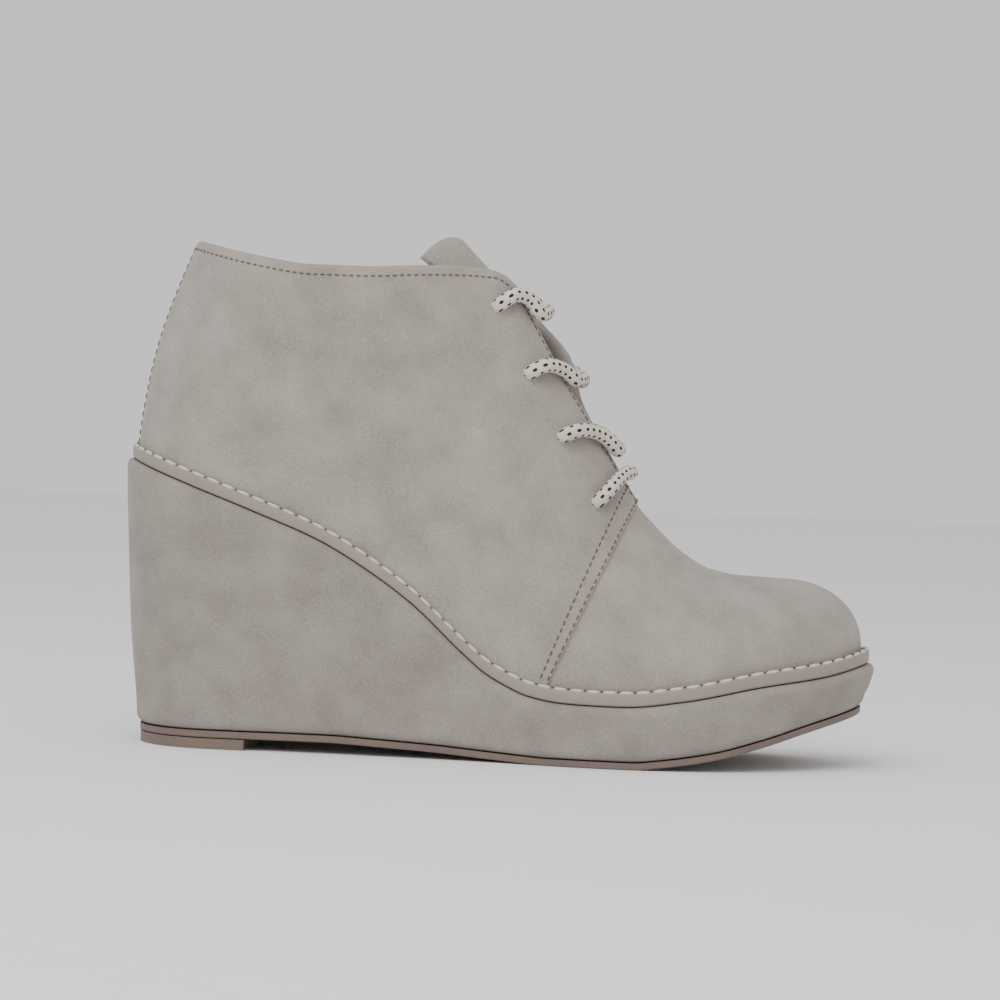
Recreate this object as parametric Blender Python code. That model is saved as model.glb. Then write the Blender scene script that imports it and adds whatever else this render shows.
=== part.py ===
"""A right wedge ankle boot with four pairs of lace holes, as its maker's pieces.

X runs from heel to toe, Y to the inner side of the foot and Z up. The origin is
on the floor, in the middle of the heel lug.
"""

import math

import bmesh
import bpy
import numpy as np
from mathutils import Vector

# Driving sizes, in metres
LENGTH = 0.257
BALL_WIDTH = 0.0900
HEEL_WIDTH = 0.0660
HEEL_HEIGHT = 0.1020
PLATFORM_HEIGHT = 0.0249
TOE_SPRING = 0.0195
ARCH_LIFT = 0.0039
COLLAR_HEIGHT = 0.0691
COLLAR_WIDTH = 0.0660
TOE_BOX_HEIGHT = 0.0381
WALL = 0.0020
LAP = 0.0010
LAP_RUN = 0.0006
WELT_HEIGHT = 0.0043
WELT_WIDTH = 0.0120
WELT_PROUD = 0.0028
WELT_ROUND = 0.0008
COVER_BULGE = 0.0018
COVER_ROUND = 0.0030
HEEL_RAKE = 0.0057
TOE_RAKE = 0.0030
OUTSOLE = 0.0023
OUTSOLE_INSET = 0.0012
OUTSOLE_ROUND = 0.0006
LUG_LENGTH = 0.0394
LUG_INSET = 0.0003
INSOLE = 0.0030
TONGUE = 0.0022
HOLE_WIDTH = 0.0046
HOLE_INSET = 0.0175
LACE = 0.0048
FLAP_LIFT = 0.0045
GAP = 0.0003
UPPER_SEAT = 0.0005

# Fineness of the meshes
OUTLINE_STEPS = 58
RIB_STEPS = 3
WALL_ROWS = 9
TONGUE_ROWS = 4
HOLE_SIDES = 12
LACE_STEPS = 3

# The sole's plan: half of the local width, how far that width is the ball's, and the middle line
OUTLINE = {
    "at": (0.0, 0.0235, 0.06, 0.12, 0.20, 0.30, 0.40, 0.50, 0.60, 0.68, 0.74, 0.80, 0.86, 0.92, 0.96, 1.0),
    "half": (0.0, 0.29, 0.42, 0.49, 0.50, 0.49, 0.475, 0.465, 0.475, 0.49, 0.497, 0.487, 0.447, 0.366, 0.274, 0.0),
    "ball": (0.0, 0.0, 0.0, 0.0, 0.0, 0.02, 0.10, 0.35, 0.75, 0.95, 1.0, 1.0, 1.0, 1.0, 1.0, 1.0),
    "axis": (0.0, 0.0, 0.0, 0.0, 0.0, -0.02, -0.04, -0.048, -0.043, -0.023, 0.0, 0.014, 0.031, 0.051, 0.062, 0.067),
}
# The welt's top edge falls from the heel to the platform, then springs up to the toe
TOP_EDGE = {
    "at": (0.0, 0.118, 0.188, 0.273, 0.33, 0.396, 0.465, 0.496, 0.525, 0.552, 0.60, 0.68, 0.756, 0.851, 0.938, 1.0),
    "rise": (1.0, 0.859, 0.773, 0.661, 0.556, 0.406, 0.201, 0.118, 0.066, 0.03, 0.006, 0.0, 0.0, 0.0, 0.0, 0.0),
    "spring": (0.0, 0.0, 0.0, 0.0, 0.0, 0.0, 0.0, 0.0, 0.0, 0.0, 0.0, 0.01, 0.135, 0.40, 0.585, 0.80),
}
# The outsole's lower face, lifted at the waist and the toe
UNDERSIDE = {
    "at": (0.0, 0.287, 0.358, 0.429, 0.50, 0.55, 0.58, 0.69, 0.727, 0.791, 0.855, 0.918, 1.0),
    "arch": (1.0, 1.0, 0.82, 0.60, 0.28, 0.08, 0.0, 0.0, 0.0, 0.0, 0.0, 0.0, 0.0),
    "spring": (0.0, 0.0, 0.0, 0.0, 0.0, 0.0, 0.0, 0.0, 0.05, 0.19, 0.42, 0.69, 1.0),
}
# The cover's side from the outsole up to the welt: height, how far it leans in, and its bulge
COVER_SIDE = {
    "level": (0.0, 0.0, 0.05, 0.35, 0.70, 0.93, 1.0, 1.0),
    "lean": (1.0, 1.0, 0.95, 0.50, 0.20, 0.03, 0.0, 0.0),
    "round": (1.0, 0.3, 0.0, 0.0, 0.0, 0.0, 0.3, 1.0),
}
# One row for each rib of the upper, from the heel over the collar, the throat and the vamp to the toe
RIBS = {
    "foot": (0.0, 0.025, 0.085, 0.165, 0.255, 0.33, 0.392, 0.43, 0.455, 0.474, 0.492, 0.517, 0.541, 0.562, 0.574,
             0.625, 0.675, 0.725, 0.775, 0.825, 0.87, 0.915, 0.96, 1.0),
    "top": (0.0865, 0.0965, 0.132, 0.188, 0.254, 0.322, 0.388, 0.441, 0.483, 0.507, 0.528, 0.572, 0.619, 0.661, 0.679,
            0.705, 0.74, 0.778, 0.814, 0.838, 0.853, 0.864, 0.871, 0.875),
    "shaft": (0.989, 0.983, 0.962, 0.935, 0.915, 0.914, 0.923, 0.927, 0.921, 0.884, 0.805, 0.62, 0.443, 0.281, 0.219,
              0.152, 0.0755, 0.0245, 0.007, 0.004, 0.002, 0.001, 0.0, 0.0),
    "half": (0.0, 0.17, 0.34, 0.455, 0.5, 0.48, 0.415, 0.31, 0.20, 0.145, 0.125, 0.095, 0.065, 0.04, 0.02,
             0.0, 0.0, 0.0, 0.0, 0.0, 0.0, 0.0, 0.0, 0.0),
    "round": (0.0, 0.0, 0.0, 0.0, 0.0, 0.08, 0.25, 0.5, 0.75, 0.9, 1.0, 1.0, 1.0, 1.0, 1.0,
              1.0, 1.0, 1.0, 1.0, 1.0, 1.0, 1.0, 1.0, 1.0),
    "peak": (1.2, 1.2, 1.2, 1.2, 1.2, 1.2, 1.2, 1.2, 1.2, 1.25, 1.3, 1.35, 1.4, 1.4, 1.35,
             1.25, 1.12, 1.0, 0.95, 0.93, 0.93, 0.93, 0.93, 0.93),
    "sweep": (0.0, 0.0, 0.0, 0.0, 0.0, 0.0, 0.0, 0.0, 0.0, 0.0, 0.0, 0.0, 0.0, 0.0, 0.0,
              0.05, 0.15, 0.35, 0.6, 0.82, 0.95, 1.0, 1.0, 1.0),
    "bow": (0.047, 0.046, 0.042, 0.026, 0.010, 0.0, 0.0, 0.0, 0.0, 0.0, 0.0, 0.0, 0.0, 0.0, 0.0,
            0.0, 0.0, 0.0, 0.0, 0.0, 0.0, 0.0, 0.0, 0.0),
    "swell": (0.0, 0.0, 0.0, 0.01, 0.02, 0.03, 0.03, 0.03, 0.03, 0.03, 0.03, 0.03, 0.03, 0.03, 0.03,
              0.03, 0.03, 0.03, 0.03, 0.03, 0.03, 0.03, 0.03, 0.03),
}
HEEL_REST = 0.102
CORNER_RIB = 9
EDGE_RIB = 14
LAST_RIB = 23
FULLNESS = 0.93
TONGUE_FROM = 9.25
TONGUE_TO = 14.6
TONGUE_SIDE = 0.74
# From the last rib under the flaps to the tongue's top edge, as shares of LENGTH, BALL_WIDTH and COLLAR_HEIGHT
TONGUE_TIP_MIDDLE = (-0.066, 0.0, 0.262)
TONGUE_TIP_SIDE = (-0.110, 0.03, 0.31)
TONGUE_TIP_STEPS = 5
# The lace holes from the top down: which rib each is on, and how far below the edge, in HOLE_INSET
LACE_HOLES = {
    "rib": (8.4, 10.35, 11.4, 12.55),
    "inset": (0.62, 1.02, 1.04, 1.16),
}
HOLES = len(LACE_HOLES["rib"])
LIFT = {"rib": 10.85, "spread": 0.5, "sharpness": 7, "toward": (0.87, 0.0, 0.49)}
# Each lace crosses the throat lower or higher than its holes, in ribs, and dips between the flaps, in LACE
LACES = {
    "shift": (1.75, 0.85, 1.0, 0.3),
    "dip": (0.45, 0.3, 0.1, 0.0),
}
LACE_LIFT = 0.66
LACE_EDGE = 0.97

COLOURS = {
    "upper": (0.352, 0.310, 0.271),
    "cover": (0.302, 0.264, 0.231),
    "welt": (0.330, 0.288, 0.246),
    "outsole": (0.190, 0.140, 0.115),
    "insole": (0.420, 0.360, 0.300),
    "tongue": (0.320, 0.282, 0.246),
    "lace": (0.680, 0.620, 0.560),
}


def clear_scene():
    for thing in list(bpy.data.objects):
        bpy.data.objects.remove(thing, do_unlink=True)


def new_collection(name):
    collection = bpy.data.collections.new(name)
    bpy.context.scene.collection.children.link(collection)
    return collection


def material(name, roughness):
    made = bpy.data.materials.new(name)
    made.use_nodes = True
    shader = made.node_tree.nodes["Principled BSDF"]
    shader.inputs["Base Color"].default_value = (*COLOURS[name], 1.0)
    shader.inputs["Roughness"].default_value = roughness
    shader.inputs["Metallic"].default_value = 0.0
    return made


def smooth(table, column, key, where):
    """A monotone cubic through a table's rows, read at one place or many."""
    x = np.asarray(table[key], float)
    y = np.asarray(table[column], float)
    step = np.diff(x)
    slope = np.diff(y) / step
    rate = np.zeros(len(x))
    for i in range(1, len(x) - 1):
        if slope[i - 1] * slope[i] > 0.0:
            near = 2.0 * step[i] + step[i - 1]
            far = step[i] + 2.0 * step[i - 1]
            rate[i] = (near + far) / (near / slope[i - 1] + far / slope[i])
    rate[0] = slope[0]
    rate[-1] = slope[-1]
    at = np.clip(np.asarray(where, float), x[0], x[-1])
    i = np.clip(np.searchsorted(x, at, side="right") - 1, 0, len(x) - 2)
    t = (at - x[i]) / step[i]
    ease = t * t * (3.0 - 2.0 * t)
    bend = step[i] * t * (1.0 - t) * (rate[i] * (1.0 - t) - rate[i + 1] * t)
    return y[i] + (y[i + 1] - y[i]) * ease + bend


def share(x):
    """Where an X lies along the sole, 0 at the heel and 1 at the toe."""
    return np.clip(np.asarray(x, float) / LENGTH + HEEL_REST, 0.0, 1.0)


def turn(at):
    """The outline's angle for a share, so that both ends of the outline come out round."""
    return np.arccos(1.0 - 2.0 * np.clip(at, 0.0, 1.0))


TURNED = {"turn": turn(OUTLINE["at"]), **OUTLINE}


def top_edge(x):
    """Height of the welt's top edge."""
    at = share(x)
    fall = (HEEL_HEIGHT - PLATFORM_HEIGHT) * smooth(TOP_EDGE, "rise", "at", at)
    return PLATFORM_HEIGHT + fall + TOE_SPRING * smooth(TOP_EDGE, "spring", "at", at)


def underside(x):
    """Height of the outsole's lower face, without the lug."""
    at = share(x)
    return ARCH_LIFT * smooth(UNDERSIDE, "arch", "at", at) + TOE_SPRING * smooth(UNDERSIDE, "spring", "at", at)


def middle(x):
    """Y of the shoe's middle line."""
    return BALL_WIDTH * smooth(OUTLINE, "axis", "at", share(x))


def outline(angle, side):
    """The sole's widest outline, side 1 for the inner side and -1 for the outer."""
    ball = smooth(TURNED, "ball", "turn", angle)
    width = HEEL_WIDTH + (BALL_WIDTH - HEEL_WIDTH) * ball
    half = width * smooth(TURNED, "half", "turn", angle)
    x = LENGTH * ((1.0 - np.cos(angle)) / 2.0 - HEEL_REST)
    y = BALL_WIDTH * smooth(TURNED, "axis", "turn", angle) + side * half
    return np.stack([x, y], axis=-1)


def inset_outline(angle, side, inset):
    """The outline moved in along its own normal."""
    small = 1e-3
    before = outline(np.maximum(angle - small, 0.0), side)
    after = outline(np.minimum(angle + small, math.pi), side)
    along = after - before
    along /= np.linalg.norm(along, axis=-1, keepdims=True)
    inward = np.stack([along[..., 1], -along[..., 0]], axis=-1) * side
    ends = (angle < small) | (angle > math.pi - small)
    inward[ends] = np.stack([np.cos(angle[ends]), np.zeros(ends.sum())], axis=-1)
    return outline(angle, side) + inward * np.asarray(inset)[..., None]


def ring(inset, lean=0.0):
    """One closed ring of plan points, up the outer side and back along the inner one."""
    angles = np.linspace(0.0, math.pi, OUTLINE_STEPS)
    rake = -TOE_RAKE + (HEEL_RAKE + TOE_RAKE) * (1.0 + np.cos(angles)) / 2.0
    inset = inset + 0.5 * HEEL_RAKE * lean * np.sin(angles) * (1.0 + np.cos(angles)) / 2.0
    sides = []
    for side in (-1, 1):
        points = inset_outline(angles, side, np.broadcast_to(inset, angles.shape))
        points[:, 0] += rake * lean
        sides.append(points)
    return np.concatenate([sides[0], sides[1][-2:0:-1]])


def ring_heights(points, height):
    return np.column_stack([points, height(points[:, 0])])


def loft_rings(name, rings, closed=False):
    """A body from rings of equal length: capped across with strips, or closed round as a band."""
    mesh = bmesh.new()
    rows = [[mesh.verts.new(point) for point in points] for points in rings]
    count = len(rows[0])
    pairs = list(zip(rows, rows[1:]))
    if closed:
        pairs.append((rows[-1], rows[0]))
    for low, high in pairs:
        for i in range(count):
            j = (i + 1) % count
            mesh.faces.new((low[i], low[j], high[j], high[i]))
    if not closed:
        for row in (rows[0], rows[-1]):
            cap_across(mesh, row)
    return finish_mesh(name, mesh)


def cap_across(mesh, row):
    last = len(row) // 2
    mesh.faces.new((row[0], row[1], row[-1]))
    for i in range(1, last - 1):
        mesh.faces.new((row[i], row[i + 1], row[-i - 1], row[-i]))
    mesh.faces.new((row[last - 1], row[last], row[last + 1]))


def finish_mesh(name, mesh):
    bmesh.ops.recalc_face_normals(mesh, faces=mesh.faces)
    data = bpy.data.meshes.new(name)
    mesh.to_mesh(data)
    mesh.free()
    return bpy.data.objects.new(name, data)


def add(thing, collection, look):
    collection.objects.link(thing)
    thing.data.materials.append(look)
    return thing


def build_outsole():
    """The thin outsole with its heel lug: the lower face drops to the floor under the heel."""
    def lower(x):
        return underside(x)

    def upper(x):
        return underside(x) + OUTSOLE

    inset = OUTSOLE_INSET
    rings = [
        ring_heights(ring(inset + OUTSOLE_ROUND, 1.0), lower),
        ring_heights(ring(inset, 1.0), lambda x: lower(x) + OUTSOLE_ROUND),
        ring_heights(ring(inset, 1.0), upper),
    ]
    return loft_rings("outsole", rings)


def build_heel_lug():
    """The lug under the heel, standing flat on the floor."""
    angles = np.linspace(0.0, math.pi, OUTLINE_STEPS)
    inset = OUTSOLE_INSET + LUG_INSET
    front = LENGTH * (0.0 - HEEL_REST) + HEEL_RAKE + inset + LUG_LENGTH
    plan = ring(inset, 1.0)
    keep = plan[:, 0] < front
    half = len(angles)
    outer = [point for point, inside in zip(plan[:half], keep[:half]) if inside]
    inner = [point for point, inside in zip(plan[half:], keep[half:]) if inside]
    outer.append((front, np.interp(front, plan[:half, 0], plan[:half, 1])))
    back = plan[half:][::-1]
    inner.insert(0, (front, np.interp(front, back[:, 0], back[:, 1])))
    mesh = bmesh.new()
    corners = outer + inner
    low = [mesh.verts.new((x, y, 0.0)) for x, y in corners]
    high = [mesh.verts.new((x, y, float(underside(x)) - GAP)) for x, y in corners]
    for i in range(len(corners)):
        j = (i + 1) % len(corners)
        mesh.faces.new((low[i], low[j], high[j], high[i]))
    mesh.faces.new(low)
    mesh.faces.new(high)
    return finish_mesh("heel_lug", mesh)


def build_cover():
    """The wedge and platform in their cover, with a step inside the welt that carries the insole."""
    def height(level, sink=0.0):
        def at(x):
            low = underside(x) + OUTSOLE + GAP
            high = top_edge(x) - WELT_HEIGHT - GAP
            return low + (high - low) * level - sink
        return at

    rings = []
    for level, lean, rounded in zip(*COVER_SIDE.values()):
        sink = 0.0
        if rounded < 1.0 and level in (0.0, 1.0):
            sink = COVER_ROUND * (1.0 - rounded) * (0.6 if level else -0.6)
        rings.append(ring_heights(ring(COVER_ROUND * rounded, lean), height(level, sink)))
    step = COVER_BULGE + WELT_WIDTH + GAP
    rings.append(ring_heights(ring(step), height(1.0)))
    rings.append(ring_heights(ring(step), lambda x: top_edge(x) - GAP))
    return loft_rings("wedge_cover", rings)


def build_welt():
    """The smooth strip round the top of the platform, proud of the upper."""
    def low(x):
        return top_edge(x) - WELT_HEIGHT

    def high(x):
        return top_edge(x)

    outer = COVER_BULGE
    rings = [
        ring_heights(ring(outer + WELT_ROUND), low),
        ring_heights(ring(outer), lambda x: low(x) + WELT_ROUND),
        ring_heights(ring(outer), lambda x: high(x) - WELT_ROUND),
        ring_heights(ring(outer + WELT_ROUND), high),
        ring_heights(ring(outer + WELT_WIDTH), high),
        ring_heights(ring(outer + WELT_WIDTH), low),
    ]
    return loft_rings("welt", rings, closed=True)


def build_insole():
    inset = COVER_BULGE + WELT_PROUD + LAP + WALL + 2.0 * GAP
    rings = [
        ring_heights(ring(inset), lambda x: top_edge(x) + GAP),
        ring_heights(ring(inset), lambda x: top_edge(x) + GAP + INSOLE * 0.7),
        ring_heights(ring(inset + INSOLE * 0.3), lambda x: top_edge(x) + GAP + INSOLE),
    ]
    return loft_rings("insole", rings)


def rib(number):
    """The values of one rib, which may lie between two rows."""
    rows = {"row": np.arange(len(RIBS["foot"])), **RIBS}
    found = {column: float(smooth(rows, column, "row", number)) for column in RIBS}
    turned = {"row": rows["row"], "turn": turn(RIBS["foot"])}
    found["turn"] = float(smooth(turned, "turn", "row", number))
    return found


def flap_lift(number, side, levels):
    """How far the lace pulls the inner flap's edge away from the foot, between its two upper holes."""
    if side < 0:
        return np.zeros(len(levels))
    along = (number - LIFT["rib"]) / LIFT["spread"]
    return FLAP_LIFT * math.exp(-along * along) * np.asarray(levels) ** LIFT["sharpness"]


def rib_points(number, side, levels, lifted=False):
    """Points up one rib of the upper's outer face, from the welt to its top."""
    row = rib(number)
    angle = np.array([row["turn"]])
    foot = inset_outline(angle, side, np.array([COVER_BULGE + WELT_PROUD]))[0]
    foot_z = float(top_edge(foot[0])) + UPPER_SEAT
    top_x = LENGTH * (row["top"] - HEEL_REST)
    shaft = HEEL_HEIGHT + COLLAR_HEIGHT - PLATFORM_HEIGHT - TOE_BOX_HEIGHT
    top_z = PLATFORM_HEIGHT + TOE_BOX_HEIGHT + shaft * row["shaft"]
    top_y = float(middle(top_x)) + side * COLLAR_WIDTH * row["half"]
    levels = np.asarray(levels, float)
    rise = np.sin(levels * math.pi / 2.0) ** FULLNESS
    fall = 1.0 - np.maximum(np.cos(levels * math.pi / 2.0), 0.0) ** row["peak"]
    up = levels + (rise - levels) * row["round"]
    across = levels + (fall - levels) * row["round"]
    forward = up + (across - up) * row["sweep"]
    swell = row["swell"] * (foot[1] - middle(foot[0])) * np.sin(levels * math.pi) * (1.0 - levels)
    bow = row["bow"] * COLLAR_HEIGHT * np.sin(levels * math.pi)
    x = foot[0] + (top_x - foot[0]) * forward - bow
    y = foot[1] + (top_y - foot[1]) * across + swell
    z = foot_z + (top_z - foot_z) * up
    points = np.column_stack([x, y, z])
    if lifted:
        points += np.outer(flap_lift(number, side, levels), LIFT["toward"])
    return points


def rib_numbers():
    """Ribs along the upper, with a close pair where the quarter's edge laps over the vamp."""
    numbers = list(np.arange(0, LAST_RIB * RIB_STEPS + 1) / RIB_STEPS)
    at = numbers.index(EDGE_RIB)
    spacing = LENGTH * (RIBS["foot"][EDGE_RIB + 1] - RIBS["foot"][EDGE_RIB])
    apart = LAP_RUN / spacing
    numbers[at] = EDGE_RIB - apart / 2.0
    numbers.insert(at + 1, EDGE_RIB + apart / 2.0)
    return numbers


def levels_up():
    """Rows up a rib, closer towards the top where the wall turns over the foot."""
    even = np.linspace(0.0, 1.0, WALL_ROWS)
    return even


def upper_grid():
    """The upper's points as [side][rib][row], outer side first."""
    numbers = rib_numbers()
    levels = levels_up()
    grid = np.array([[rib_points(number, side, levels, True) for number in numbers] for side in (-1, 1)])
    shared = grid.mean(axis=0)
    for at, number in enumerate(numbers):
        if number > EDGE_RIB:
            grid[:, at, -1] = shared[at, -1]
    grid[:, 0] = shared[0]
    grid[:, -1] = shared[-1]
    return np.array(numbers), grid


def grid_normals(grid):
    """Outward normals of the upper's two sides, agreeing where the sides meet."""
    normals = np.empty_like(grid)
    for i, side in enumerate((-1, 1)):
        along = np.gradient(grid[i], axis=0)
        up = np.gradient(grid[i], axis=1)
        normals[i] = np.cross(along, up) * -side
    other = normals[::-1] * (1.0, -1.0, 1.0)
    for at in (0, -1):
        normals[:, at] += other[:, at]
        normals[:, at, :, 1] = 0.0
    ridge = np.array([number > EDGE_RIB for number in rib_numbers()])
    joined = normals[:, ridge, -1] + normals[::-1][:, ridge, -1]
    normals[:, ridge, -1] = joined
    lengths = np.linalg.norm(normals, axis=-1, keepdims=True)
    return normals / np.maximum(lengths, 1e-12)


def upper_faces(numbers):
    """Faces of one skin of the upper, as (side, rib, row) corners."""
    faces = []
    for side in (0, 1):
        for i in range(len(numbers) - 1):
            for j in range(WALL_ROWS - 1):
                square = [(side, i, j), (side, i + 1, j), (side, i + 1, j + 1), (side, i, j + 1)]
                faces.append(square if side == 0 else square[::-1])
    return faces


def build_upper():
    """One wall, open at the collar, the throat and underneath, that steps at the quarter's edge."""
    numbers, grid = upper_grid()
    normals = grid_normals(grid)
    lap = np.where(numbers < EDGE_RIB, LAP, 0.0)[None, :, None, None]
    skins = [grid + normals * lap, grid - normals * WALL]
    for skin in skins:
        skin[:, :, 0, 2] = top_edge(skin[:, :, 0, 0]) + UPPER_SEAT
    mesh = bmesh.new()
    verts = {}

    def vert(skin, corner):
        side, at, row = corner
        if at in (0, len(numbers) - 1) or (row == WALL_ROWS - 1 and numbers[at] > EDGE_RIB):
            side = 0
        key = (skin, side, at, row)
        if key not in verts:
            verts[key] = mesh.verts.new(skins[skin][side, at, row])
        return verts[key]

    for corners in upper_faces(numbers):
        mesh.faces.new([vert(0, corner) for corner in corners])
        mesh.faces.new([vert(1, corner) for corner in corners[::-1]])
    outer = {v: vert(1, key[1:]) for key, v in list(verts.items()) if key[0] == 0}
    rims = [edge for edge in mesh.edges if edge.is_boundary and edge.verts[0] in outer]
    for edge in rims:
        a, b = (loop.vert for loop in (edge.link_loops[0], edge.link_loops[0].link_loop_next))
        mesh.faces.new((b, a, outer[a], outer[b]))
    return finish_mesh("upper", mesh)


def throat_ends():
    """The outer flap's edge at the collar's corner and at the vamp."""
    return [rib_points(number, -1, (1.0,))[0] for number in (CORNER_RIB, EDGE_RIB)]


def hole_places(side):
    """For each lace hole: its rib, its level up the rib, its middle and the wall's normal there."""
    levels = np.linspace(0.4, 1.0, 121)
    places = []
    for number, inset in zip(*LACE_HOLES.values()):
        points = rib_points(number, side, levels)
        steps = np.linalg.norm(np.diff(points, axis=0), axis=1)
        below = np.concatenate([[0.0], np.cumsum(steps[::-1])])[::-1]
        level = float(np.interp(-HOLE_INSET * inset, -below, levels))
        places.append((number, level, *wall_at(number, side, level)))
    return places


def wall_at(number, side, level, lifted=True):
    """A point of the flap's outer face, and its outward normal."""
    small = 0.01
    here = rib_points(number, side, (level - small, level, min(level + small, 1.0)), lifted)
    before = rib_points(number - small, side, (level,), lifted)[0]
    after = rib_points(number + small, side, (level,), lifted)[0]
    normal = np.cross(after - before, here[2] - here[0]) * -side
    normal /= np.linalg.norm(normal)
    return here[1] + normal * LAP, normal


def hole_cutter(name, place, normal, collection):
    """A round punch through the wall, with its length along the wall's normal."""
    bpy.ops.mesh.primitive_cylinder_add(vertices=HOLE_SIDES, radius=HOLE_WIDTH / 2.0, depth=4.0 * WALL)
    punch = bpy.context.active_object
    punch.name = name
    for owner in list(punch.users_collection):
        owner.objects.unlink(punch)
    collection.objects.link(punch)
    punch.rotation_mode = "QUATERNION"
    punch.rotation_quaternion = Vector(normal).to_track_quat("Z", "Y")
    punch.location = place - normal * WALL / 2.0
    punch.hide_render = True
    punch.display_type = "WIRE"
    return punch


def punch_holes(upper, cutters):
    for side, word in ((-1, "outer"), (1, "inner")):
        for i, (_, _, place, normal) in enumerate(hole_places(side)):
            cut = upper.modifiers.new(f"hole_{word}_{i + 1}", "BOOLEAN")
            cut.operation = "DIFFERENCE"
            cut.solver = "EXACT"
            cut.object = hole_cutter(f"punch_{word}_{i + 1}", place, normal, cutters)


def tongue_section(number):
    """Points across the tongue at one rib, outer side to inner, with the normals there."""
    levels = np.linspace(TONGUE_SIDE, 1.0, TONGUE_ROWS)
    places = [wall_at(number, -1, level, False) for level in levels]
    places += [wall_at(number, 1, level, False) for level in levels[::-1]]
    points = np.array([place - normal * LAP for place, normal in places])
    normals = np.array([normal for _, normal in places])
    return points - normals * (WALL + GAP), normals


def build_tongue():
    """The tongue under the flaps, from the vamp up past the collar to its tip."""
    numbers = np.arange(TONGUE_TO, TONGUE_FROM - 0.01, -1.0 / RIB_STEPS)
    sections = [tongue_section(number) for number in numbers]
    points, normals = tongue_section(TONGUE_FROM)
    sides = np.abs(np.linspace(-1.0, 1.0, len(points)))
    sizes = np.array((LENGTH, BALL_WIDTH, COLLAR_HEIGHT))
    to_middle = np.array(TONGUE_TIP_MIDDLE) * sizes
    to_side = np.array(TONGUE_TIP_SIDE) * sizes
    moves = np.outer(1.0 - sides, to_middle) + np.outer(sides, to_side)
    moves[: len(points) // 2, 1] *= -1.0
    for i in range(1, TONGUE_TIP_STEPS + 1):
        sections.append((points + moves * i / TONGUE_TIP_STEPS, normals))
    mesh = bmesh.new()
    tops = [[mesh.verts.new(p) for p in section] for section, _ in sections]
    lows = [[mesh.verts.new(p - n * TONGUE) for p, n in zip(*pair)] for pair in sections]
    across = len(points)
    for i in range(len(sections) - 1):
        for j in range(across - 1):
            mesh.faces.new((tops[i][j], tops[i][j + 1], tops[i + 1][j + 1], tops[i + 1][j]))
            mesh.faces.new((lows[i][j], lows[i + 1][j], lows[i + 1][j + 1], lows[i][j + 1]))
    for j in range(across - 1):
        mesh.faces.new((tops[0][j], lows[0][j], lows[0][j + 1], tops[0][j + 1]))
        mesh.faces.new((tops[-1][j], tops[-1][j + 1], lows[-1][j + 1], lows[-1][j]))
    for i in range(len(sections) - 1):
        mesh.faces.new((tops[i][0], tops[i + 1][0], lows[i + 1][0], lows[i][0]))
        mesh.faces.new((tops[i][-1], lows[i][-1], lows[i + 1][-1], tops[i + 1][-1]))
    return finish_mesh("tongue", mesh)


def lace_route(at):
    """Places along one crossing: a hole, the flap, its edge, the middle of the throat, and back."""
    shift = LACES["shift"][at]
    halves = []
    for side in (-1, 1):
        number, level, place, normal = hole_places(side)[at]
        route = [place + normal * LACE * LACE_LIFT]
        for part in (0.35, 0.7, 1.0):
            there, out = wall_at(number + shift * part, side, level + (LACE_EDGE - level) * part)
            route.append(there + out * LACE * LACE_LIFT)
        halves.append(route)
    corner, vamp = throat_ends()
    along = vamp - corner
    along[1] = 0.0
    outward = np.cross(along / np.linalg.norm(along), (0.0, -1.0, 0.0))
    centre = (halves[0][-1] + halves[1][-1]) / 2.0 - outward * LACE * LACES["dip"][at]
    return [*halves[0], centre, *halves[1][::-1]]


def rounded_route(points):
    """A smooth line through the points, read at a few places between each two."""
    ends = [2.0 * points[0] - points[1], *points, 2.0 * points[-1] - points[-2]]
    line = []
    for a, b, c, d in zip(ends, ends[1:], ends[2:], ends[3:]):
        for t in np.arange(LACE_STEPS) / LACE_STEPS:
            line.append(0.5 * (2 * b + (c - a) * t + (2 * a - 5 * b + 4 * c - d) * t**2
                               + (3 * b - a - 3 * c + d) * t**3))
    return [*line, points[-1]]


def build_lace(at):
    line = rounded_route(lace_route(at))
    data = bpy.data.curves.new(f"lace_{at + 1}", "CURVE")
    data.dimensions = "3D"
    data.bevel_depth = LACE / 2.0
    data.bevel_resolution = 1
    data.use_fill_caps = True
    spline = data.splines.new("POLY")
    spline.points.add(len(line) - 1)
    for point, place in zip(spline.points, line):
        point.co = (*place, 1.0)
    return bpy.data.objects.new(f"lace_{at + 1}", data)


def main():
    clear_scene()
    boot = new_collection("wedge_ankle_boot")
    cutters = new_collection("cutters")
    cover_look = material("cover", 0.95)
    upper_look = material("upper", 0.95)
    add(build_outsole(), boot, material("outsole", 0.55))
    add(build_heel_lug(), boot, bpy.data.materials["outsole"])
    add(build_cover(), boot, cover_look)
    add(build_welt(), boot, material("welt", 0.5))
    add(build_insole(), boot, material("insole", 0.8))
    upper = add(build_upper(), boot, upper_look)
    punch_holes(upper, cutters)
    add(build_tongue(), boot, material("tongue", 0.95))
    cord = material("lace", 0.9)
    for at in range(HOLES):
        add(build_lace(at), boot, cord)


main()
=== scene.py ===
import math

import bmesh
import bpy
import numpy as np
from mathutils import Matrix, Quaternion, Vector


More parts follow.
